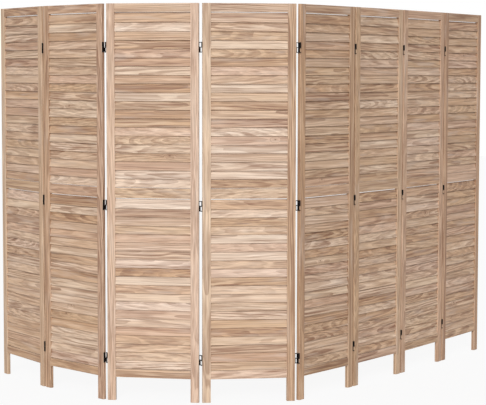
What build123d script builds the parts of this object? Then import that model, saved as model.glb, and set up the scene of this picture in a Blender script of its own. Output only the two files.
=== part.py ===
from build123d import *
from math import atan2, cos, degrees, hypot, radians, sin
import os

os.makedirs("parts", exist_ok=True)

# Folding screen of louvred wooden panels joined by double action hinges. Sizes in mm.
# +X runs along the front panel to the right, +Y to the rear, +Z up. The feet stand on Z = 0.

# Panel frame
panel_width = 400.0
panel_height = 1700.0
panel_thickness = 16.0
stile_width = 36.0
top_rail_height = 37.0
mid_rail_height = 44.0
mid_rail_centre = 896.0
bottom_rail_height = 36.0
foot_height = 101.0
edge_radius = 1.0

# Tenons on the rail ends, glued into mortises in the stiles
tenon_length = 20.0
tenon_thickness = 6.0
tenon_shoulder = 5.0
glue_gap = 0.1
end_gap = 0.5

# Louvre slats, housed in slanted slots in the stiles
slat_thickness = 5.0
slat_width = 43.0
slat_tilt = 12.0
slat_pitch = 37.0
slat_housing = 6.0
slot_gap = 0.1
gap_under_rail = 2.5
gap_over_rail = 1.0

# Hinges: the front axis stands by the right panel, the rear axis by the left panel
panel_gap = 11.0
axis_proud = 1.0
hinge_height = 44.0
hinge_levels = (183.0, 843.0, 1515.0)
knuckle_radius = 2.5
leaf_thickness = 1.2
leaf_margin = 1.5
leaf_setback = 4.0
plate_thickness = 3.0
plate_radius = 2.2
pin_radius = 1.25
pin_head_radius = 1.9
pin_head_height = 0.8
running_gap = 0.05
knuckle_gap = 0.3

# Screws through the hinge leaves into the stiles
screw_radius = 1.5
screw_length = 14.0
screw_head_radius = 2.8
screw_spacing = 28.0

# Bend of each hinge line towards the rear as the screen stands, in degrees
bends = (10.3, 35.7, 16.5, 44.1, 2.1, 2.2, 1.1)
panel_count = len(bends) + 1
front_panel = 4

opening_width = panel_width - 2 * stile_width
rail_z = {
    "top": (panel_height - top_rail_height, top_rail_height),
    "mid": (mid_rail_centre - mid_rail_height / 2, mid_rail_height),
    "bottom": (foot_height, bottom_rail_height),
}
front_axis = (panel_gap - knuckle_radius, -axis_proud)
rear_axis = (knuckle_radius, panel_thickness + axis_proud)


def block(x, y, z):
    """A box from its low and high limits along each axis."""
    size = (x[1] - x[0], y[1] - y[0], z[1] - z[0])
    corner = Pos(x[0], y[0], z[0])
    return corner * Box(*size, align=(Align.MIN, Align.MIN, Align.MIN))


def rod(x, y, z, radius):
    """An upright cylinder at x, y between the two heights of z."""
    return Pos(x, y, z[0]) * Cylinder(radius, z[1] - z[0], align=(Align.CENTER, Align.CENTER, Align.MIN))


def slat_centres():
    """Heights of the slat centres, evenly spaced in each of the two openings."""
    tilt = radians(slat_tilt)
    extent = slat_width * cos(tilt) + slat_thickness * sin(tilt)
    centres = []
    for below, above in (("bottom", "mid"), ("mid", "top")):
        low = sum(rail_z[below]) + gap_over_rail + extent / 2
        high = rail_z[above][0] - gap_under_rail - extent / 2
        steps = max(1, round((high - low) / slat_pitch))
        centres += [low + (high - low) * step / steps for step in range(steps + 1)]
    return centres


def slat_box(x, z, margin=0.0):
    """One slat between the limits of x, its top edge leaning to the rear."""
    length = x[1] - x[0]
    board = Box(length, slat_thickness + 2 * margin, slat_width + 2 * margin)
    return Pos((x[0] + x[1]) / 2, panel_thickness / 2, z) * Rot(-slat_tilt, 0, 0) * board


def tenon_box(x, rail, margin=0.0):
    """A rail's tenon, or its mortise when a margin is given."""
    low, height = rail_z[rail]
    middle = panel_thickness / 2
    reach = tenon_thickness / 2 + margin
    z = (low + tenon_shoulder - margin, low + height - tenon_shoulder + margin)
    return block(x, (middle - reach, middle + reach), z)


def screw_points(side):
    """Depth and height of every leaf screw: the left leaves sit forward, the right ones back."""
    leaf = leaf_span(side)
    depth = (leaf[0] + leaf[1]) / 2
    heights = [level + sign * screw_spacing / 2 for level in hinge_levels for sign in (-1, 1)]
    return [(depth, height) for height in heights]


def leaf_span(side):
    """Depth limits of a leaf, on the left or the right panel of a hinge line."""
    if side == "left":
        return (leaf_margin, panel_thickness - leaf_setback)
    return (leaf_setback, panel_thickness - leaf_margin)


def screw_hole(x, depth, height, towards):
    """Pilot hole in a stile's edge at x, running into the stile along towards (1 or -1)."""
    length = screw_length - leaf_thickness + end_gap
    centre = x + towards * length / 2
    return Pos(centre, depth, height) * Rot(0, 90, 0) * Cylinder(screw_radius + running_gap, length)


def make_stile(is_left, hinged):
    """A full height stile with its slat slots, mortises and, on a hinged edge, pilot holes."""
    outer = 0.0 if is_left else panel_width
    inward = 1 if is_left else -1
    inner = outer + inward * stile_width
    low, high = sorted((outer, inner))
    body = block((low, high), (0, panel_thickness), (0, panel_height))
    body = fillet(body.edges().filter_by(Axis.Z), edge_radius)
    slot = sorted((inner, inner - inward * slat_housing))
    mortise = sorted((inner, inner - inward * (tenon_length + end_gap)))
    cuts = [slat_box(slot, z, slot_gap) for z in slat_centres()]
    cuts += [tenon_box(mortise, rail, glue_gap) for rail in rail_z]
    if hinged:
        side = "right" if is_left else "left"
        cuts += [screw_hole(outer, y, z, inward) for y, z in screw_points(side)]
    return body - cuts


def make_rail(rail):
    """A rail between the stiles, with a tenon at each end."""
    low, height = rail_z[rail]
    board = (stile_width, panel_width - stile_width)
    body = block(board, (0, panel_thickness), (low, low + height))
    body = fillet(body.edges().filter_by(Axis.X), edge_radius)
    return body + tenon_box((board[0] - tenon_length, board[1] + tenon_length), rail)


def make_slats():
    """Every slat of a panel, reaching into both stiles."""
    reach = slat_housing - end_gap
    x = (stile_width - reach, panel_width - stile_width + reach)
    return [slat_box(x, z) for z in slat_centres()]


def make_leaf(side):
    """A hinge leaf at height 0 on its hinge line: a plate with a rolled knuckle."""
    half = hinge_height / 2
    low = plate_thickness / 2 + knuckle_gap
    high = half - plate_thickness - knuckle_gap
    span = leaf_span(side)
    if side == "left":
        axis, x, z = rear_axis, (0, leaf_thickness), (-high, -low)
        tab = (span[1], axis[1])
    else:
        axis, x, z = front_axis, (panel_gap - leaf_thickness, panel_gap), (low, high)
        tab = (axis[1], span[0])
    leaf = block(x, span, (-half, half)) + block(x, tab, z) + rod(*axis, z, knuckle_radius)
    leaf -= rod(*axis, z, pin_radius + running_gap)
    outward = 1 if side == "left" else -1
    face = leaf_thickness if side == "left" else panel_gap - leaf_thickness
    depth = (span[0] + span[1]) / 2
    for sign in (-1, 1):
        leaf -= screw_head(face, depth, sign * screw_spacing / 2, outward, running_gap)
    return leaf


def screw_head(face, depth, height, outward, margin=0.0):
    """The countersunk head in a leaf whose free face is at x = face."""
    cone = Cone(screw_radius + margin, screw_head_radius + margin, leaf_thickness)
    return Pos(face - outward * leaf_thickness / 2, depth, height) * Rot(0, 90 * outward, 0) * cone


def make_screw(face, depth, height, outward):
    """A countersunk wood screw, its head flush with the leaf."""
    shank_length = screw_length - leaf_thickness
    centre = face - outward * (leaf_thickness + shank_length / 2)
    shank = Pos(centre, depth, height) * Rot(0, 90, 0) * Cylinder(screw_radius, shank_length)
    return screw_head(face, depth, height, outward) + shank


def plate_levels():
    """Height limits of the three link plates of a hinge, from the top one down."""
    half = hinge_height / 2
    centre = plate_thickness / 2
    return [(half - plate_thickness, half), (-centre, centre), (-half, plate_thickness - half)]


def make_plate(z, axes):
    """A link plate with round ends on both axes, bored for the pins on the given axes."""
    (xf, yf), (xr, yr) = front_axis, rear_axis
    middle = ((xf + xr) / 2, (yf + yr) / 2)
    length = hypot(xr - xf, yr - yf)
    turn = degrees(atan2(yr - yf, xr - xf))
    outline = Pos(*middle) * Rot(0, 0, turn) * SlotCenterToCenter(length, 2 * plate_radius)
    plate = Pos(0, 0, z[0]) * extrude(outline, z[1] - z[0])
    return plate - [rod(*axis, z, pin_radius + running_gap) for axis in axes]


def make_links():
    """The three plates of one hinge."""
    top, mid, bottom = plate_levels()
    both = (front_axis, rear_axis)
    return [make_plate(top, (front_axis,)), make_plate(mid, both), make_plate(bottom, (rear_axis,))]


def make_pin(axis, z):
    """A pin through two plates, with a rivet head beyond each."""
    low, high = z
    shank = rod(*axis, z, pin_radius)
    return shank + rod(*axis, (high, high + pin_head_height), pin_head_radius) + rod(
        *axis, (low - pin_head_height, low), pin_head_radius
    )


def make_pins():
    """The front pin in the upper half of a hinge and the rear pin in the lower half."""
    top, mid, bottom = plate_levels()
    return [make_pin(front_axis, (mid[0], top[1])), make_pin(rear_axis, (bottom[0], mid[1]))]


def at_levels(make_solids):
    """Copies of one hinge's solids at every hinge height."""
    return [Pos(0, 0, level) * solid for level in hinge_levels for solid in make_solids()]


def hinge_screws(side):
    """Screws of all the leaves on one side of a hinge line."""
    outward = 1 if side == "left" else -1
    face = leaf_thickness if side == "left" else panel_gap - leaf_thickness
    return [make_screw(face, y, z, outward) for y, z in screw_points(side)]


def turn_about(axis, angle):
    """Rotation by angle degrees about an upright axis of a hinge line's own frame."""
    return Pos(*axis) * Rot(0, 0, angle) * Pos(-axis[0], -axis[1])


def place_bodies():
    """Locations of the panels and links, outwards from the front panel."""
    panels = {front_panel: Location()}
    links = {}
    for line in range(front_panel, panel_count):
        links[line] = panels[line] * Pos(panel_width, 0) * turn_about(rear_axis, bends[line - 1])
        panels[line + 1] = links[line] * Pos(panel_gap, 0)
    for line in range(front_panel - 1, 0, -1):
        links[line] = panels[line + 1] * Pos(-panel_gap, 0)
        back = turn_about(rear_axis, -bends[line - 1])
        panels[line] = links[line] * back * Pos(-panel_width, 0)
    return panels, links


def panel_nodes(number):
    """Every node of one panel in the panel's own frame."""
    has_left = number > 1
    has_right = number < panel_count
    stiles = [make_stile(True, has_left), make_stile(False, has_right)]
    rails = [make_rail(rail) for rail in rail_z]
    leaves, screws = [], []
    if has_left:
        shift = Pos(-panel_gap, 0)
        leaves += [shift * leaf for leaf in at_levels(lambda: [make_leaf("right")])]
        screws += [shift * screw for screw in hinge_screws("right")]
    if has_right:
        shift = Pos(panel_width, 0)
        leaves += [shift * leaf for leaf in at_levels(lambda: [make_leaf("left")])]
        screws += [shift * screw for screw in hinge_screws("left")]
    return {"stiles": stiles, "rails": rails, "louvres": make_slats(),
            "hinge_leaves": leaves, "hinge_screws": screws}


def make_screen():
    """All nodes at their places, with the front panel's left foot at the origin."""
    panels, links = place_bodies()
    nodes = {}
    for number, place in panels.items():
        for name, solids in panel_nodes(number).items():
            nodes[f"panel_{number}_{name}"] = [place * solid for solid in solids]
    for line, place in links.items():
        nodes[f"hinge_{line}_links"] = [place * solid for solid in at_levels(make_links)]
        nodes[f"hinge_{line}_pins"] = [place * solid for solid in at_levels(make_pins)]
    return nodes


def single(shape):
    """The one solid that a shape holds."""
    return shape.solids()[0]


nodes = make_screen()
everything = Compound(children=[single(solid) for solids in nodes.values() for solid in solids])
box = everything.bounding_box()
centre = Pos(-(box.min.X + box.max.X) / 2, -(box.min.Y + box.max.Y) / 2, -box.min.Z)
for name, solids in nodes.items():
    moved = [centre * single(solid) for solid in solids]
    export_step(Compound(children=moved, label=name), f"parts/{name}.step")

places, link_places = place_bodies()
for line, place in sorted(link_places.items()):
    for label, axis in (("front", front_axis), ("rear", rear_axis)):
        point = (centre * place * Pos(*axis)).position
        print("hinge", line, label, "axis", round(point.X, 4), round(point.Y, 4))
for number, place in sorted(places.items()):
    turn = (centre * place).orientation.Z
    point = (centre * place).position
    print("panel", number, "corner", round(point.X, 4), round(point.Y, 4), "turn", round(turn, 4))
print("size", [round(value, 2) for value in box.size])
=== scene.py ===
import math

import bpy
import numpy as np
from mathutils import Matrix


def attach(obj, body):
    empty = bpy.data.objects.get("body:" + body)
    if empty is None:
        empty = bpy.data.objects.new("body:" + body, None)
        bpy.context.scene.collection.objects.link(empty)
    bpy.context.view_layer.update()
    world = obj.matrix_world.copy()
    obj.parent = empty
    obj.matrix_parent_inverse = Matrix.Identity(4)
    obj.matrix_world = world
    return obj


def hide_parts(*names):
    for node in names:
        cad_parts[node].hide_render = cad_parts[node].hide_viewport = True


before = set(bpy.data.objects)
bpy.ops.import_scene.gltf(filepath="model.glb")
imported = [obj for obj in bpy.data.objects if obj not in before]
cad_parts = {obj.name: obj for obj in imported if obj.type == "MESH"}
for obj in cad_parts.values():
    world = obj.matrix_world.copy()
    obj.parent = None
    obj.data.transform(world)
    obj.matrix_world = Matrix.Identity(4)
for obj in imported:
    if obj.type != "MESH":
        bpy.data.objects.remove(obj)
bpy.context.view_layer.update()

panelNumbers = range(1, 9)
print("frame loaded:", len(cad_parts), "nodes")


# reading the frame

mergeDecimals = 6           # places to which corners are rounded to find the shared ones
endFaceTolerance = 0.0001


def solidsOf(node):
    # Points of every solid in a node: corners at one place are one point, and points that share
    # a triangle take the lowest label among them until no label changes.
    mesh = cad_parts[node].data
    mesh.calc_loop_triangles()
    points = np.empty(len(mesh.vertices) * 3)
    mesh.vertices.foreach_get("co", points)
    corners = np.empty(len(mesh.loop_triangles) * 3, np.int32)
    mesh.loop_triangles.foreach_get("vertices", corners)
    places, merged = np.unique(np.round(points.reshape(-1, 3), mergeDecimals), axis=0, return_inverse=True)
    corners = merged.ravel()[corners].reshape(-1, 3)
    label = np.arange(len(places))
    while True:
        lower = label.copy()
        np.minimum.at(lower, corners.ravel(), np.repeat(label[corners].min(1), 3))
        lower = lower[lower]
        if (lower == label).all():
            break
        label = lower
    return [places[label == k] for k in np.unique(label)]


def panelAxes(number):
    # Right, back and up of a panel: right runs between the middles of a rail's two end faces.
    points = solidsOf(f"panel_{number}_rails")[0]
    flat = points[:, :2] - points[:, :2].mean(0)
    along = flat @ np.linalg.svd(flat, full_matrices=False)[2][0]
    nearEnd, farEnd = along < along.min() + endFaceTolerance, along > along.max() - endFaceTolerance
    near, far = flat[nearEnd].mean(0), flat[farEnd].mean(0)
    x, y = (far - near) / np.linalg.norm(far - near)
    if x < 0:
        x, y = -x, -y
    return np.array([[x, y, 0], [-y, x, 0], [0, 0, 1.0]])


# boards

boardLook = {
    "seed": 300,
    "cornerSteps": 3,       # flat strips in each rounded corner of a stile or rail
    "frameRadius": 0.0016,  # rounding of stiles and rails
    "frameEndEase": 0.0008,
    "stileRings": 9,        # cross sections along a board
    "railRings": 5,
    "slatRings": 4,
    "slatRadius": 0.0017,
    "slatCornerSteps": 2,
    "slatLean": 0.9,        # degrees of random lean, as two standard deviations
    "slatLift": 0.0005,
    "slatBow": 0.0008,
    "firstSlatLift": 0.001,
    "tightTopPanel": 3,     # its first slat sits right under the top rail
    "tightTopLift": 0.0022,
    "knotChance": 0.05,
    # how much browner than the palest panel each one is, from left to right
    # On panels 5 to 8, turned from the lamp, part of this brown is painted shade.
    "browner": (0.42, 0.34, 0.0, 0.12, 0.42, 0.42, 0.46, 0.62),
}

# Where a board was sawn from its tree: (across, through) in metres from the board's middle.
treeLook = {
    "nearHeart": (-0.03, 0.012),
    "farHeart": (0.03, 0.075),
    "slant": (0.012, 0.05),         # spread of the heart's slant per metre of board
    "trunkLength": 50,              # metres of trunk, a board starts anywhere along them
    "knotReach": (0.35, 0.3),       # share of length and width round the middle
    "knotSizes": (0.6, 1.25),
    "leastKnotSize": 0.5,
    "noKnot": 9.0,                  # a knot this many metres away doesn't show
}


def roundedProfile(width, depth, radius, steps):
    # A rectangle with round corners, counter-clockwise: each corner's centre plus its radius
    # turned through a quarter circle. Returns the points and the outward direction at each.
    turn = np.linspace(0, math.pi / 2, steps + 1)
    turns = (np.arange(4)[:, None] * math.pi / 2 + turn).ravel()
    outward = np.stack([np.cos(turns), np.sin(turns)], 1)
    side = np.repeat([[1, 1], [-1, 1], [-1, -1], [1, -1]], steps + 1, axis=0)
    centres = side * (np.array([width, depth]) / 2 - radius)
    return centres + outward * radius, outward


def ringFaces(ringCount, pointCount):
    # Quads between neighbouring rings of points, and one flat cap at each end.
    ring, point = np.meshgrid(np.arange(ringCount - 1), np.arange(pointCount), indexing="ij")
    following = (point + 1) % pointCount
    low, high = ring * pointCount, (ring + 1) * pointCount
    quads = np.stack([low + point, low + following, high + following, high + point], -1)
    caps = np.stack([np.arange(pointCount)[::-1], np.arange(pointCount) + (ringCount - 1) * pointCount])
    return quads.reshape(-1, 4), caps


class BoardPile:
    # Boards of one piece, gathered as arrays and made into one mesh.
    def __init__(self, browner):
        self.browner = browner
        self.points, self.faces, self.normals = [], [], []
        self.grain, self.section, self.tone, self.knot = [], [], [], []
        self.count = 0

    def add(self, axes, centre, size, radius, steps, ease, rings, rng, bow=0.0, knotChance=0.0):
        # A board: its rounded profile carried along its length, drawn in a little at eased ends.
        # axes holds the directions of length, width and depth, one in each row. A bow is a parabola
        # along the board, full at the middle and none at the ends.
        length, width, depth = size
        profile, outward = roundedProfile(width, depth, radius, steps)
        stations = np.linspace(-length / 2 + ease, length / 2 - ease, rings)
        shrink = np.ones(rings)
        if ease:
            stations = np.concatenate([[-length / 2], stations, [length / 2]])
            shrink = np.concatenate([[0], shrink, [0]])
        inset = (1 - shrink)[:, None, None] * ease * outward
        across = profile[None] - inset
        curve = bow * (1 - (2 * stations / length) ** 2)
        local = np.concatenate([
            np.broadcast_to(stations[:, None, None], across.shape[:2] + (1,)), across], -1)
        local = local + np.stack([0 * curve, 0 * curve, curve], -1)[:, None]
        ringCount, pointCount = local.shape[:2]
        quads, caps = ringFaces(ringCount, pointCount)
        # a face corner shades outwards on the sides and along the board on the caps
        side = np.concatenate([np.zeros((pointCount, 1)), outward], 1)
        lean = np.zeros((ringCount - 1, 1, 3))
        if ease:
            lean[0, 0, 0], lean[-1, 0, 0] = -1, 1
        strip = np.stack([side, np.roll(side, -1, 0), np.roll(side, -1, 0), side], 1)
        strips = strip[None] + lean[:, :, None]
        strips /= np.linalg.norm(strips, axis=-1, keepdims=True)
        ends = np.zeros((2, pointCount, 3))
        ends[0, :, 0], ends[1, :, 0] = -1, 1
        if np.linalg.det(axes) < 0:
            quads, strips = quads[:, ::-1], strips[:, :, ::-1]
            caps, ends = caps[:, ::-1], ends[:, ::-1]
        self.points.append((local.reshape(-1, 3) @ axes) + centre)
        self.faces += (quads + self.count).tolist() + (caps + self.count).tolist()
        self.normals.append(np.concatenate([strips.reshape(-1, 3), ends.reshape(-1, 3)]) @ axes)
        self.count += ringCount * pointCount
        self.addGrain(local.reshape(-1, 3), size, rng, knotChance)

    def addGrain(self, local, size, rng, knotChance):
        # Place in the tree: the heart of the trunk runs beside the board at a slight slant, so the
        # rings meet the face as long flames.
        look = treeLook
        heart = rng.uniform(look["nearHeart"], look["farHeart"]) * np.array([1, rng.choice([-1, 1])])
        slant = rng.normal(0, look["slant"])
        start = rng.uniform(0, look["trunkLength"])
        grain = local - np.array([-start, heart[0], heart[1]])
        grain[:, 1:] -= local[:, :1] * slant
        self.grain.append(grain)
        self.section.append(local / (np.array(size) / 2))
        tone = rng.random(3)
        # a panel's browner share darkens all its boards, and on panels 5 to 8 it is partly painted shade
        tone[0] = (1 - self.browner) * tone[0] + self.browner
        self.tone.append(np.broadcast_to(tone, local.shape))
        reach = np.array(look["knotReach"])
        place = rng.uniform(-reach, reach) * np.array(size[:2])
        knotSize = rng.uniform(*look["knotSizes"]) if rng.random() < knotChance else 0.0
        away = np.array([*place, 0]) if knotSize else np.array([look["noKnot"], look["noKnot"], 0])
        self.knot.append((local - away) / max(knotSize, look["leastKnotSize"]))

    def finish(self, name, body, node, slotName, material):
        mesh = bpy.data.meshes.new(name)
        points = np.concatenate(self.points)
        mesh.from_pydata(points.tolist(), [], self.faces)
        for label, rows in (("grain", self.grain), ("section", self.section),
                            ("tone", self.tone), ("knot", self.knot)):
            data = mesh.attributes.new(label, "FLOAT_VECTOR", "POINT")
            data.data.foreach_set("vector", np.concatenate(rows).astype(np.float32).ravel())
        mesh.polygons.foreach_set("use_smooth", np.ones(len(mesh.polygons), bool))
        mesh.normals_split_custom_set(np.concatenate(self.normals).tolist())
        mesh.materials.append(material)
        piece = bpy.data.objects.new(name, mesh)
        bpy.context.scene.collection.objects.link(piece)
        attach(piece, body)
        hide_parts(node)


# materials

def newGroup(name, inputs, outputs):
    group = bpy.data.node_groups.new(name, "ShaderNodeTree")
    for label, kind, value in inputs:
        socket = group.interface.new_socket(name=label, in_out="INPUT", socket_type=kind)
        if value is not None:
            socket.default_value = value
    for label, kind in outputs:
        group.interface.new_socket(name=label, in_out="OUTPUT", socket_type=kind)
    return group, group.nodes.new("NodeGroupInput"), group.nodes.new("NodeGroupOutput")


class Wiring:
    # Short calls for nodes: every value given is a number, a tuple or another node's output.
    def __init__(self, tree):
        self.tree = tree

    def node(self, kind, **settings):
        made = self.tree.nodes.new(kind)
        for key, value in settings.items():
            setattr(made, key, value)
        return made

    def feed(self, socket, value):
        if isinstance(value, bpy.types.NodeSocket):
            self.tree.links.new(value, socket)
        elif value is not None:
            socket.default_value = value

    def math(self, operation, first, second=None, third=None, clamp=False):
        made = self.node("ShaderNodeMath", operation=operation, use_clamp=clamp)
        for socket, value in zip(made.inputs, (first, second, third)):
            self.feed(socket, value)
        return made.outputs[0]

    def vector(self, operation, first, second=None):
        made = self.node("ShaderNodeVectorMath", operation=operation)
        self.feed(made.inputs[0], first)
        self.feed(made.inputs[1], second)
        return made.outputs["Value" if operation == "LENGTH" else "Vector"]

    def split(self, value):
        made = self.node("ShaderNodeSeparateXYZ")
        self.feed(made.inputs[0], value)
        return made.outputs

    def join(self, x, y, z):
        made = self.node("ShaderNodeCombineXYZ")
        for socket, value in zip(made.inputs, (x, y, z)):
            self.feed(socket, value)
        return made.outputs[0]

    def noise(self, place, scale, detail, roughness, dimensions="3D"):
        made = self.node("ShaderNodeTexNoise", noise_dimensions=dimensions)
        self.feed(made.inputs["W" if dimensions == "1D" else "Vector"], place)
        for label, value in (("Scale", scale), ("Detail", detail), ("Roughness", roughness)):
            self.feed(made.inputs[label], value)
        return made.outputs["Fac"]

    def ranged(self, value, low, high, toLow=0.0, toHigh=1.0, smooth=True):
        made = self.node("ShaderNodeMapRange")
        made.interpolation_type = "SMOOTHSTEP" if smooth else "LINEAR"
        for socket, item in zip(made.inputs, (value, low, high, toLow, toHigh)):
            self.feed(socket, item)
        return made.outputs[0]

    def mixed(self, factor, first, second, blend="MIX"):
        made = self.node("ShaderNodeMix", data_type="RGBA", blend_type=blend)
        self.feed(made.inputs["Factor"], factor)
        self.feed(made.inputs[6], first)
        self.feed(made.inputs[7], second)
        return made.outputs[2]

    def ramp(self, value, stops):
        made = self.node("ShaderNodeValToRGB")
        elements = made.color_ramp.elements
        while len(elements) < len(stops):
            elements.new(0.5)
        for element, (place, colour) in zip(elements, stops):
            element.position, element.color = place, colour
        self.feed(made.inputs[0], value)
        return made.outputs[0]

    def attribute(self, name):
        return self.node("ShaderNodeAttribute", attribute_name=name).outputs["Vector"]

    def bump(self, height, strength, distance):
        made = self.node("ShaderNodeBump")
        made.inputs["Strength"].default_value = strength
        made.inputs["Distance"].default_value = distance
        self.feed(made.inputs["Height"], height)
        return made.outputs[0]

    def backdropSeen(self):
        # 1 where the camera, a reflection or a clear surface looks at the backdrop, otherwise 0.
        path = self.node("ShaderNodeLightPath")
        mirrored = self.math("MAXIMUM", path.outputs["Is Glossy Ray"], path.outputs["Is Transmission Ray"])
        return self.math("MAXIMUM", path.outputs["Is Camera Ray"], mirrored)


def newMaterial(name):
    material = bpy.data.materials.new(name)
    material.use_nodes = True
    return material, material.node_tree.nodes["Principled BSDF"], Wiring(material.node_tree)


def paint(red, green, blue):
    # A screen colour of 0 to 255 as the linear colour that a socket takes.
    share = np.array([red, green, blue]) / 255
    linear = np.where(share <= 0.04045, share / 12.92, ((share + 0.055) / 1.055) ** 2.4)
    return (*[float(x) for x in linear], 1.0)


# Stretches are (along, across, through) scales of noise per metre of wood: small along, large across.
# Noises are (scale, detail, roughness).
grainLook = {
    "bendNoise": (1.0, 2.0, 0.5),
    "bendStretch": (4.0, 22.0, 22.0),
    "bendReach": 0.03,
    "knotOval": 0.6,
    "knotPull": (0.004, 0.024),         # metres from the knot where its rings rule, and where they end
    "knotRings": 1.6,
    "knotCore": (0.0016, 0.0042),
    "unevenNoise": (1.0, 2.0, 0.6),
    "unevenness": 1.4,
    "lateWood": (0.25, 0.9),            # share of a ring over which it darkens
    "lateWoodEnd": 0.93,
    "strengthNoise": (1.0, 1.0, 0.5),
    "strengthPitch": 0.37,
    "strengthSpan": (0.3, 0.72, 0.25, 1.0),
    "softNoise": (0.55, 3.0, 0.6),
    "softSpan": (0.35, 0.7),
    "streakNoise": (1.0, 3.0, 0.6),
    "streakStretch": (2.8, 120.0, 120.0),
    "streakSpan": (0.46, 0.62),
    "lineNoise": (1.0, 1.0, 0.5),
    "lineStretch": (3.0, 330.0, 330.0),
    "lineSpan": (0.58, 0.7),
    "patchNoise": (1.0, 2.0, 0.5),
    "patchStretch": (4.0, 34.0, 34.0),
    "fibreNoise": (0.35, 3.0, 0.65),
    "fibrePitch": 6.0,
    "ringShare": 0.75,
    "softShare": 0.2,
    "streakShare": 0.5,
    "lineShare": 0.35,
}


def makeGrainGroup():
    # Rings: the distance from the heart of the trunk, bent by noise, read through uneven bands.
    # Near a knot the distance from the knot takes over, so the lines close round it.
    group, given, out = newGroup("treeGrain", [
        ("Grain", "NodeSocketVector", None), ("Knot", "NodeSocketVector", None),
        ("Ring Width", "NodeSocketFloat", 0.006), ("Waviness", "NodeSocketFloat", 0.5),
        ("Fibre Width", "NodeSocketFloat", 0.0006),
    ], [("Rings", "NodeSocketFloat"), ("Fibres", "NodeSocketFloat"),
        ("Patches", "NodeSocketFloat"), ("Knot Core", "NodeSocketFloat")])
    w = Wiring(group)
    look = grainLook
    grain, knot = given.outputs["Grain"], given.outputs["Knot"]
    along, across, through = w.split(grain)
    bend = w.noise(w.vector("MULTIPLY", grain, look["bendStretch"]), *look["bendNoise"])
    shift = w.math("MULTIPLY", w.math("SUBTRACT", bend, 0.5),
                   w.math("MULTIPLY", given.outputs["Waviness"], look["bendReach"]))
    distance = w.math("ADD", w.vector("LENGTH", w.join(0.0, across, through)), shift)
    knotAlong, knotAcross = w.split(knot)[:2]
    knotOval = w.join(w.math("MULTIPLY", knotAlong, look["knotOval"]), knotAcross, 0.0)
    knotDistance = w.vector("LENGTH", knotOval)
    pulled = w.node("ShaderNodeMix", data_type="FLOAT")
    w.feed(pulled.inputs[0], w.ranged(knotDistance, *look["knotPull"], 1.0, 0.0))
    w.feed(pulled.inputs[2], distance)
    w.feed(pulled.inputs[3], w.math("MULTIPLY", knotDistance, look["knotRings"]))
    phase = w.math("DIVIDE", pulled.outputs[0], given.outputs["Ring Width"])
    uneven = w.noise(phase, *look["unevenNoise"], "1D")
    saw = w.math("FRACT", w.math("MULTIPLY_ADD", uneven, look["unevenness"], phase))
    late = w.math("MULTIPLY", w.ranged(saw, *look["lateWood"]),
                  w.ranged(saw, look["lateWoodEnd"], 1.0, 1.0, 0.0))
    strengthPlace = w.math("MULTIPLY", phase, look["strengthPitch"])
    strength = w.noise(strengthPlace, *look["strengthNoise"], "1D")
    rings = w.math("MULTIPLY", late, w.ranged(strength, *look["strengthSpan"]))
    soft = w.ranged(w.noise(phase, *look["softNoise"], "1D"), *look["softSpan"])
    streakPlace = w.vector("MULTIPLY", grain, look["streakStretch"])
    streaks = w.ranged(w.noise(streakPlace, *look["streakNoise"]), *look["streakSpan"])
    linePlace = w.vector("MULTIPLY", grain, look["lineStretch"])
    lines = w.ranged(w.noise(linePlace, *look["lineNoise"]), *look["lineSpan"])
    softAndStreaks = w.math("MULTIPLY_ADD", soft, look["softShare"],
                            w.math("MULTIPLY", streaks, look["streakShare"]))
    blended = w.math("ADD", w.math("MULTIPLY", rings, look["ringShare"]), softAndStreaks)
    w.feed(out.inputs["Rings"], w.math("MULTIPLY_ADD", lines, look["lineShare"], blended, True))
    finePlace = w.join(w.math("MULTIPLY", along, look["fibrePitch"]),
                       w.math("DIVIDE", across, given.outputs["Fibre Width"]),
                       w.math("DIVIDE", through, given.outputs["Fibre Width"]))
    w.feed(out.inputs["Fibres"], w.noise(finePlace, *look["fibreNoise"]))
    patchPlace = w.vector("MULTIPLY", grain, look["patchStretch"])
    w.feed(out.inputs["Patches"], w.noise(patchPlace, *look["patchNoise"]))
    w.feed(out.inputs["Knot Core"], w.ranged(knotDistance, *look["knotCore"], 1.0, 0.0))
    return group


rimWearAndHighlightLook = {
    "noise": (1.0, 2.0, 0.5),
    "stretch": (35.0, 200.0, 200.0),
    "breakSpan": (0.3, 0.7, 0.35, 1.3),
}


def makeRimWearAndHighlightGroup():
    # Paler long edges: partly wear, partly a painted highlight where the rounded edges catch the light.
    # Distance to the nearest long edge: the larger of the two distances to the sides of the section.
    group, given, out = newGroup("rimWearAndPaintedHighlight", [
        ("Section", "NodeSocketVector", None), ("Half Width", "NodeSocketFloat", 0.02),
        ("Half Depth", "NodeSocketFloat", 0.008), ("Reach", "NodeSocketFloat", 0.003),
        ("Breakup", "NodeSocketVector", None),
    ], [("Rim Wear And Highlight", "NodeSocketFloat")])
    w = Wiring(group)
    across, through = w.split(given.outputs["Section"])[1:]
    sides = [w.math("MULTIPLY", w.math("SUBTRACT", 1.0, w.math("ABSOLUTE", part)), given.outputs[half])
             for part, half in ((across, "Half Width"), (through, "Half Depth"))]
    breakPlace = w.vector("MULTIPLY", given.outputs["Breakup"], rimWearAndHighlightLook["stretch"])
    broken = w.noise(breakPlace, *rimWearAndHighlightLook["noise"])
    reach = w.math("MULTIPLY", given.outputs["Reach"], w.ranged(broken, *rimWearAndHighlightLook["breakSpan"]))
    near = w.math("DIVIDE", w.math("MAXIMUM", *sides), reach)
    w.feed(out.inputs["Rim Wear And Highlight"], w.ranged(near, 0.0, 1.0, 1.0, 0.0))
    return group


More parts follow.
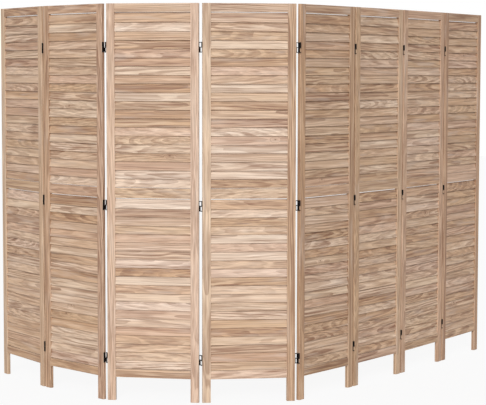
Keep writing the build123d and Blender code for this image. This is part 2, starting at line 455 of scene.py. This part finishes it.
woodLook = {
    "tones": [(0.0, paint(240, 220, 201)), (0.3, paint(232, 206, 182)), (0.55, paint(221, 190, 161)),
              (0.8, paint(206, 169, 135)), (1.0, paint(184, 142, 107))],
    "lateWood": paint(134, 92, 56),
    "rose": paint(224, 190, 174),
    "straw": paint(220, 194, 160),
    "wash": paint(236, 220, 204),
    "knotCore": paint(104, 68, 46),
    # pale edge colour: partly wear, partly painted highlight on the rounded edges
    "rimWearAndHighlight": paint(236, 214, 190),
    "roseSpan": (0.6, 1.0, 0.0, 0.3),   # from, to, and the shares of the tint there
    "strawSpan": (0.0, 0.4, 0.25, 0.0),
    "fibreSpan": (0.3, 0.7),
    "fibreLight": 1.06,
    "washSpan": (0.5, 0.75),
    "knotShare": 0.85,
    "roughness": (0.72, 0.58),          # between the rings, and on them
    "ringHeight": -0.5,
    "fibreHeight": 0.9,
    "bumpDistance": 0.0004,
}


def makeWood(name, settings, grainGroup, rimWearAndHighlightGroup):
    material, shader, w = newMaterial(name)
    tone = w.split(w.attribute("tone"))
    grain = w.node("ShaderNodeGroup", node_tree=grainGroup)
    grainPlace = w.attribute("grain")
    w.feed(grain.inputs["Grain"], grainPlace)
    w.feed(grain.inputs["Knot"], w.attribute("knot"))
    for label in ("Ring Width", "Waviness", "Fibre Width"):
        grain.inputs[label].default_value = settings[label]
    rimWearAndHighlight = w.node("ShaderNodeGroup", node_tree=rimWearAndHighlightGroup)
    w.feed(rimWearAndHighlight.inputs["Section"], w.attribute("section"))
    w.feed(rimWearAndHighlight.inputs["Breakup"], grainPlace)
    for label in ("Half Width", "Half Depth", "Reach"):
        rimWearAndHighlight.inputs[label].default_value = settings[label]
    rings, fibres, patches = (grain.outputs[label] for label in ("Rings", "Fibres", "Patches"))
    toned = w.ranged(tone[0], 0.0, 1.0, settings["toneLow"], settings["toneHigh"], False)
    shade = w.math("MULTIPLY_ADD", w.math("SUBTRACT", patches, 0.5), settings["patchiness"], toned, True)
    base = w.ramp(shade, woodLook["tones"])
    base = w.mixed(w.ranged(tone[1], *woodLook["roseSpan"]), base, woodLook["rose"])
    base = w.mixed(w.ranged(tone[1], *woodLook["strawSpan"]), base, woodLook["straw"])
    contrast = w.ranged(tone[2], 0.0, 1.0, *settings["ringContrast"], False)
    lateColour = w.mixed(settings["lateDepth"], base, woodLook["lateWood"], "MULTIPLY")
    colour = w.mixed(w.math("MULTIPLY", rings, contrast), base, lateColour)
    fibreShade = w.ranged(fibres, *woodLook["fibreSpan"], settings["fibreDark"], woodLook["fibreLight"])
    colour = w.mixed(1.0, colour, w.join(fibreShade, fibreShade, fibreShade), "MULTIPLY")
    washed = w.math("MULTIPLY", w.ranged(patches, *woodLook["washSpan"]), settings["wash"])
    colour = w.mixed(washed, colour, woodLook["wash"])
    # paler edges, partly wear and partly painted highlight
    colour = w.mixed(w.math("MULTIPLY", rimWearAndHighlight.outputs[0], settings["rimWearAndHighlightShare"]), colour, woodLook["rimWearAndHighlight"])
    knotted = w.math("MULTIPLY", grain.outputs["Knot Core"], woodLook["knotShare"])
    colour = w.mixed(knotted, colour, woodLook["knotCore"])
    w.feed(shader.inputs["Base Color"], colour)
    w.feed(shader.inputs["Roughness"], w.ranged(rings, 0.0, 1.0, *woodLook["roughness"], False))
    height = w.math("ADD", w.math("MULTIPLY", rings, woodLook["ringHeight"]),
                    w.math("MULTIPLY", fibres, woodLook["fibreHeight"]))
    w.feed(shader.inputs["Normal"], w.bump(height, settings["bump"], woodLook["bumpDistance"]))
    return material


metalLook = {
    "dark": paint(14, 10, 9),
    "light": paint(28, 22, 20),
    "rubbed": paint(86, 80, 76),
    "mottleNoise": (260.0, 3.0, 0.6),
    "rubNoise": (900.0, 2.0, 0.55),
    "rubSpan": (0.64, 0.8, 0.0, 0.35),
    "roughnessSpan": (0.2, 0.8, 0.45, 0.62),
    "metallic": 0.1,
    "specular": 0.12,
    "bump": 0.15,
    "bumpDistance": 0.0002,
}


def makeHingeMetal():
    # Black satin coating, a little uneven, rubbed to grey on a few high spots.
    material, shader, w = newMaterial("blackHingeMetal")
    look = metalLook
    place = w.node("ShaderNodeTexCoord").outputs["Object"]
    mottle = w.noise(place, *look["mottleNoise"])
    rub = w.ranged(w.noise(place, *look["rubNoise"]), *look["rubSpan"])
    colour = w.mixed(mottle, look["dark"], look["light"])
    w.feed(shader.inputs["Base Color"], w.mixed(rub, colour, look["rubbed"]))
    w.feed(shader.inputs["Roughness"], w.ranged(mottle, *look["roughnessSpan"]))
    shader.inputs["Metallic"].default_value = look["metallic"]
    shader.inputs["Specular IOR Level"].default_value = look["specular"]
    w.feed(shader.inputs["Normal"], w.bump(mottle, look["bump"], look["bumpDistance"]))
    return material


# Half Width and Half Depth are of a board's section, and Reach is how far in its edges are worn and
# painted with highlight.
grainGroup, rimWearAndHighlightGroup = makeGrainGroup(), makeRimWearAndHighlightGroup()
slatWood = makeWood("slatWood", {
    "Ring Width": 0.0078, "Waviness": 0.6, "Fibre Width": 0.0011,
    "Half Width": 0.0215, "Half Depth": 0.0025, "Reach": 0.0022,
    "toneLow": 0.0, "toneHigh": 0.85, "patchiness": 1.1, "ringContrast": (0.6, 1.0), "lateDepth": 0.86,
    "fibreDark": 0.78, "wash": 0.3, "rimWearAndHighlightShare": 0.35, "bump": 0.4,
}, grainGroup, rimWearAndHighlightGroup)
frameWood = makeWood("frameWood", {
    "Ring Width": 0.0075, "Waviness": 0.35, "Fibre Width": 0.0012,
    "Half Width": 0.018, "Half Depth": 0.008, "Reach": 0.0028,
    "toneLow": 0.25, "toneHigh": 0.9, "patchiness": 0.8, "ringContrast": (0.6, 1.0), "lateDepth": 0.85,
    "fibreDark": 0.78, "wash": 0.3, "rimWearAndHighlightShare": 0.3, "bump": 0.35,
}, grainGroup, rimWearAndHighlightGroup)
hingeMetal = makeHingeMetal()
print("materials made")


# panels

def spanIn(points, axes):
    local = points @ axes.T
    return local.min(0), local.max(0)


def makePanel(number):
    rng = np.random.default_rng(boardLook["seed"] + number)
    axes, body = panelAxes(number), f"panel_{number}"
    right, back, up = axes
    look = boardLook
    stilePile, railPile, slatPile = (BoardPile(look["browner"][number - 1]) for kind in range(3))
    sides = []
    for points in solidsOf(f"panel_{number}_stiles"):
        low, high = spanIn(points, axes)
        sides.append((low[0], high[0]))
        size = (high[2] - low[2], high[0] - low[0], high[1] - low[1])
        stilePile.add(np.array([up, right, back]), (low + high) / 2 @ axes, size, look["frameRadius"],
                      look["cornerSteps"], look["frameEndEase"], look["stileRings"], rng)
    sides.sort()
    leftFace, rightFace = sides[0][1], sides[1][0]  # the faces that the rails run between
    for points in solidsOf(f"panel_{number}_rails"):
        low, high = spanIn(points, axes)
        low[0], high[0] = leftFace, rightFace
        size = (high[0] - low[0], high[2] - low[2], high[1] - low[1])
        railPile.add(np.array([right, up, back]), (low + high) / 2 @ axes, size,
                     look["frameRadius"], look["cornerSteps"], 0.0, look["railRings"], rng)
    slats = [points @ axes.T for points in solidsOf(f"panel_{number}_louvres")]
    heights = [local[:, 2].mean() for local in slats]
    first = slats[int(np.argmax(heights))]
    for local in slats:
        centre = local.mean(0)
        across = (local - centre)[:, 1:]
        # the section is tall in the direction that its corners spread along most
        tall = np.linalg.svd(across, full_matrices=False)[2][0]
        tall = tall if tall[1] > 0 else -tall
        width = np.ptp(across @ tall)
        depth = np.ptp(across @ np.array([tall[1], -tall[0]]))
        lean = math.atan2(tall[0], tall[1]) + math.radians(rng.normal(0, look["slatLean"] / 2))
        upward = math.sin(lean) * back + math.cos(lean) * up
        inward = math.cos(lean) * back - math.sin(lean) * up
        if local is first:
            tight = number == look["tightTopPanel"]
            centre[2] += look["tightTopLift"] if tight else look["firstSlatLift"]
        else:
            centre[2] += rng.uniform(-1, 1) * look["slatLift"]
        size = (np.ptp(local[:, 0]), width, depth)
        slatPile.add(np.array([right, upward, inward]), centre @ axes, size,
                     look["slatRadius"], look["slatCornerSteps"], 0.0, look["slatRings"], rng,
                     bow=rng.uniform(-1, 1) * look["slatBow"], knotChance=look["knotChance"])
    stilePile.finish(f"stiles_{number}", body, f"panel_{number}_stiles", "wood_frame", frameWood)
    railPile.finish(f"rails_{number}", body, f"panel_{number}_rails", "wood_frame", frameWood)
    slatPile.finish(f"slats_{number}", body, f"panel_{number}_louvres", "wood_slats", slatWood)


for number in panelNumbers:
    makePanel(number)
print("panels made")

for name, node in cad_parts.items():
    if "hinge" in name:
        node.data.materials.clear()
        node.data.materials.append(hingeMetal)
print("hinges dressed")


# room

roomLook = {
    "floorSize": 40.0,
    "keyFrom": (-0.22, -0.98, 0.42),  # towards the lamp
    "keyStrength": 2.2,
    "keySoftness": 24.0,              # degrees
    "skyStrength": 0.46,
    "floorGlow": 0.9,
    "floorDrop": 0.0005,
    "floorColour": (0.8, 0.8, 0.8, 1),
    "floorRoughness": 0.9,
}


def makeFloor():
    half, drop = roomLook["floorSize"] / 2, roomLook["floorDrop"]
    mesh = bpy.data.meshes.new("floor")
    corners = [(x * half, y * half, -drop) for x, y in ((-1, -1), (1, -1), (1, 1), (-1, 1))]
    mesh.from_pydata(corners, [], [(0, 1, 2, 3)])
    floor = bpy.data.objects.new("floor", mesh)
    bpy.context.scene.collection.objects.link(floor)
    material, shader, w = newMaterial("paleFloor")
    shader.inputs["Base Color"].default_value = roomLook["floorColour"]
    shader.inputs["Roughness"].default_value = roomLook["floorRoughness"]
    mix = w.node("ShaderNodeMixShader")
    w.feed(mix.inputs[0], w.math("MULTIPLY", w.backdropSeen(), roomLook["floorGlow"]))
    w.feed(mix.inputs[1], shader.outputs[0])
    w.feed(mix.inputs[2], w.node("ShaderNodeEmission").outputs[0])
    w.feed(material.node_tree.nodes["Material Output"].inputs["Surface"], mix.outputs[0])
    mesh.materials.append(material)


def makeLights():
    world = bpy.data.worlds.new("studio")
    bpy.context.scene.world = world
    world.use_nodes = True
    w = Wiring(world.node_tree)
    background = world.node_tree.nodes["Background"]
    background.inputs["Color"].default_value = (1, 1, 1, 1)
    w.feed(background.inputs["Strength"],
           w.ranged(w.backdropSeen(), 0.0, 1.0, roomLook["skyStrength"], 1.0, False))
    lamp = bpy.data.lights.new("keyLight", "SUN")
    lamp.energy = roomLook["keyStrength"]
    lamp.angle = math.radians(roomLook["keySoftness"])
    key = bpy.data.objects.new("keyLight", lamp)
    bpy.context.scene.collection.objects.link(key)
    towards = np.array(roomLook["keyFrom"]) / np.linalg.norm(roomLook["keyFrom"])
    side = np.cross([0, 0, 1], towards)
    side /= np.linalg.norm(side)
    turned = np.stack([side, np.cross(towards, side), towards], 1)
    key.matrix_world = Matrix(turned.tolist()).to_4x4()


# Fitted to the corners of the panels in the photograph. Pixels are of its 486 by 405 frame.
cameraLook = {
    "place": (-1.0293, -7.4943, 1.4032),
    "yaw": 7.146,            # degrees to the right
    "pitch": 4.486,          # degrees down
    "roll": 0.108,
    "pixelsAcross": 486,
    "focalPixels": 1639.1,
    "sensorWidth": 36.0,
}


def makeCamera():
    data = bpy.data.cameras.new("camera")
    camera = bpy.data.objects.new("camera", data)
    bpy.context.scene.collection.objects.link(camera)
    data.sensor_width = cameraLook["sensorWidth"]
    data.lens = cameraLook["focalPixels"] / cameraLook["pixelsAcross"] * data.sensor_width
    yaw, pitch, roll = (math.radians(cameraLook[key]) for key in ("yaw", "pitch", "roll"))
    right = np.array([math.cos(yaw), -math.sin(yaw), 0])
    level = np.array([math.sin(yaw), math.cos(yaw), 0])
    up = np.array([0, 0, 1.0])
    forward = level * math.cos(pitch) - up * math.sin(pitch)
    above = level * math.sin(pitch) + up * math.cos(pitch)
    rolledRight = right * math.cos(roll) + above * math.sin(roll)
    rolledUp = above * math.cos(roll) - right * math.sin(roll)
    turned = Matrix(np.stack([rolledRight, rolledUp, -forward], 1).tolist()).to_4x4()
    turned.translation = cameraLook["place"]
    camera.matrix_world = turned
    bpy.context.scene.camera = camera


makeFloor()
makeLights()
makeCamera()
bpy.context.scene.view_settings.view_transform = "Standard"
print("room made")
